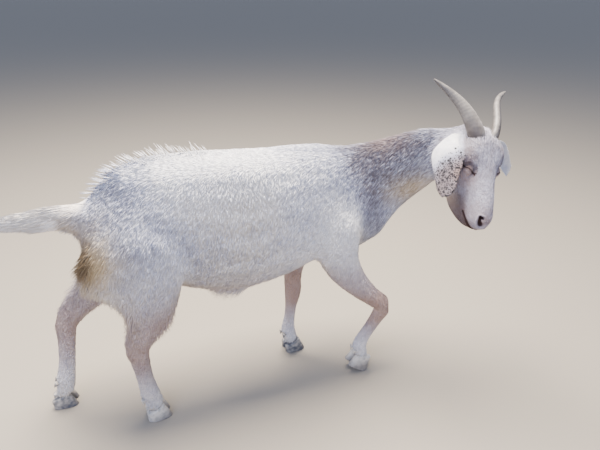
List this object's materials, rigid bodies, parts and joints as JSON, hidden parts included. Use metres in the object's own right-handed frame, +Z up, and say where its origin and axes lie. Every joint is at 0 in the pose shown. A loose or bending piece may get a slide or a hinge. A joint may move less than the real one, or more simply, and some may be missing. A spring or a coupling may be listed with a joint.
{
  "type": "goat",
  "caption": "White short-haired goat in mid-stride, with swept-back horns, broad lop ears, a long-haired tail held out behind and its head turned to its right.",
  "frame": {"origin": "middle of the goat's bounding box, on the floor it stands on", "axes": "+X the way the goat walks, +Y to the goat's left, +Z up"},
  "size_m": [1.2448, 0.4222, 0.8259],
  "materials": {
    "coat": "short white hair over skin",
    "ear": "thin skin with short hair, speckled dark near the tip",
    "horn": "grey-brown horn, ringed at the base and smooth at the tip",
    "hoof": "dark grey hoof horn, satin",
    "eye": "wet brown eyeball"
  },
  "bodies": {
    "root": {"trunk": "coat", "neck": "coat", "head": "coat", "tail": "coat", "leg_front_right": "coat", "leg_front_left": "coat", "leg_hind_right": "coat", "leg_hind_left": "coat", "ear_left": "ear", "ear_right": "ear", "horn_left": "horn", "horn_right": "horn", "eye_left": "eye", "eye_right": "eye", "hoof_front_right_outer": "hoof", "hoof_front_right_inner": "hoof", "hoof_front_left_outer": "hoof", "hoof_front_left_inner": "hoof", "hoof_hind_right_outer": "hoof", "hoof_hind_right_inner": "hoof", "hoof_hind_left_outer": "hoof", "hoof_hind_left_inner": "hoof", "dewclaw_front_right_outer": "hoof", "dewclaw_front_right_inner": "hoof", "dewclaw_front_left_outer": "hoof", "dewclaw_front_left_inner": "hoof", "dewclaw_hind_right_outer": "hoof", "dewclaw_hind_right_inner": "hoof", "dewclaw_hind_left_outer": "hoof", "dewclaw_hind_left_inner": "hoof"}
  },
  "joints": []
}
